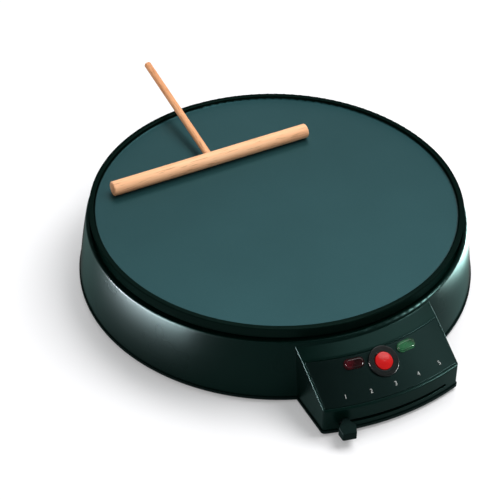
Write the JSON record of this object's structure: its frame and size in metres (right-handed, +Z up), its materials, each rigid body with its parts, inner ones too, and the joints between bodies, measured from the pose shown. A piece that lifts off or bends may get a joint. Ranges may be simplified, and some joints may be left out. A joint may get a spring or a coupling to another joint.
{
  "type": "electric crepe maker",
  "caption": "Round electric crepe maker: non-stick griddle plate on a flared housing with a sloping control pod, push button, indicator lenses, slider thermostat and a loose wooden spreader.",
  "frame": {"origin": "on the griddle plate's axis, at the level of the surface it stands on", "axes": "+Z up along the plate's axis, -Y towards the control pod at the front, +Y towards the mains inlet, +X to the right seen from the front"},
  "size_m": [0.3204, 0.4008, 0.0903],
  "materials": {
    "griddle_coating": "dark teal non-stick coating, satin",
    "housing_plastic": "glossy black with a green cast",
    "cover_plastic": "matte black",
    "fascia_plastic": "semi-gloss black",
    "bezel_plastic": "gloss black",
    "red_button_plastic": "gloss red",
    "spring_steel": "bright drawn wire",
    "red_lens_plastic": "dark red, clear",
    "green_lens_plastic": "green, clear",
    "lamp_plastic": "natural nylon",
    "lamp_glass": "clear glass",
    "element_sheath": "heat-darkened steel sheath",
    "insulator_ceramic": "unglazed",
    "tab_brass": "tinned brass",
    "plated_steel": "zinc plated",
    "screw_steel": "zinc plated",
    "shield_steel": "aluminised sheet",
    "washer_mica": "mica",
    "rivet_aluminium": "plain",
    "switch_plastic": "black",
    "thermostat_ceramic": "unglazed steatite",
    "spindle_steel": "turned steel",
    "bulb_copper": "copper",
    "fuse_ceramic": "white ceramic sleeve",
    "knob_plastic": "black, lightly textured",
    "block_plastic": "natural nylon",
    "bush_rubber": "black",
    "foot_rubber": "black",
    "lead_brown": "silicone insulation",
    "lead_black": "silicone insulation",
    "lead_red": "silicone insulation",
    "lead_blue": "silicone insulation",
    "lead_green": "silicone insulation",
    "spreader_wood": "sanded beech"
  },
  "bodies": {
    "base": {"base_cover": "cover_plastic", "base_screws": "screw_steel", "bulb_straps": "plated_steel", "button_bezel": "bezel_plastic", "button_spring": "spring_steel", "control_fascia": "fascia_plastic", "earth_lead": "lead_green", "earth_tab": "tab_brass", "element_insulators": "insulator_ceramic", "element_lead": "lead_red", "element_straps": "plated_steel", "element_tabs": "tab_brass", "fuse_lead": "lead_blue", "fuse_strap": "plated_steel", "green_lens": "green_lens_plastic", "griddle_plate": "griddle_coating", "heat_shield": "shield_steel", "heating_element": "element_sheath", "housing_shell": "housing_plastic", "indicator_lamps": "lamp_glass", "inlet_bush": "bush_rubber", "insulating_washers": "washer_mica", "lamp_holders": "lamp_plastic", "live_lead": "lead_brown", "neutral_lead": "lead_blue", "plate_screws": "screw_steel", "red_lens": "red_lens_plastic", "rubber_feet": "foot_rubber", "sensor_bulb": "bulb_copper", "shield_rivets": "rivet_aluminium", "strap_screws": "screw_steel", "switch_body": "switch_plastic", "switch_tabs": "tab_brass", "switched_lead": "lead_black", "terminal_block": "block_plastic", "terminal_screws": "tab_brass", "thermal_fuse": "fuse_ceramic", "thermostat_body": "thermostat_ceramic", "thermostat_bracket": "plated_steel", "thermostat_tabs": "tab_brass"},
    "temperature_lever": {"lever_arm": "plated_steel", "slider_knob": "knob_plastic", "thermostat_spindle": "spindle_steel", "lever_screw": "screw_steel"},
    "push_button": {"power_button": "red_button_plastic"},
    "spreader": {"spreader_bar": "spreader_wood", "spreader_handle": "spreader_wood"}
  },
  "joints": [
    {"name": "temperature_lever_swing", "type": "hinge", "parent": "base", "child": "temperature_lever", "pos_m": [0, 0, 0.0115], "axis": [0, 0, 1], "range_deg": [0, 24.6]},
    {"name": "push_button_press", "type": "slide", "parent": "base", "child": "push_button", "axis": [0, 0.5284, -0.849], "range_m": [0, 0.0022], "stiffness_N_per_m": 800, "springref_m": -0.001, "deforming": ["button_spring"]},
    {"name": "spreader_lift", "type": "slide", "parent": "base", "child": "spreader", "axis": [0, 0, 1], "range_m": [0, 0.12]}
  ]
}
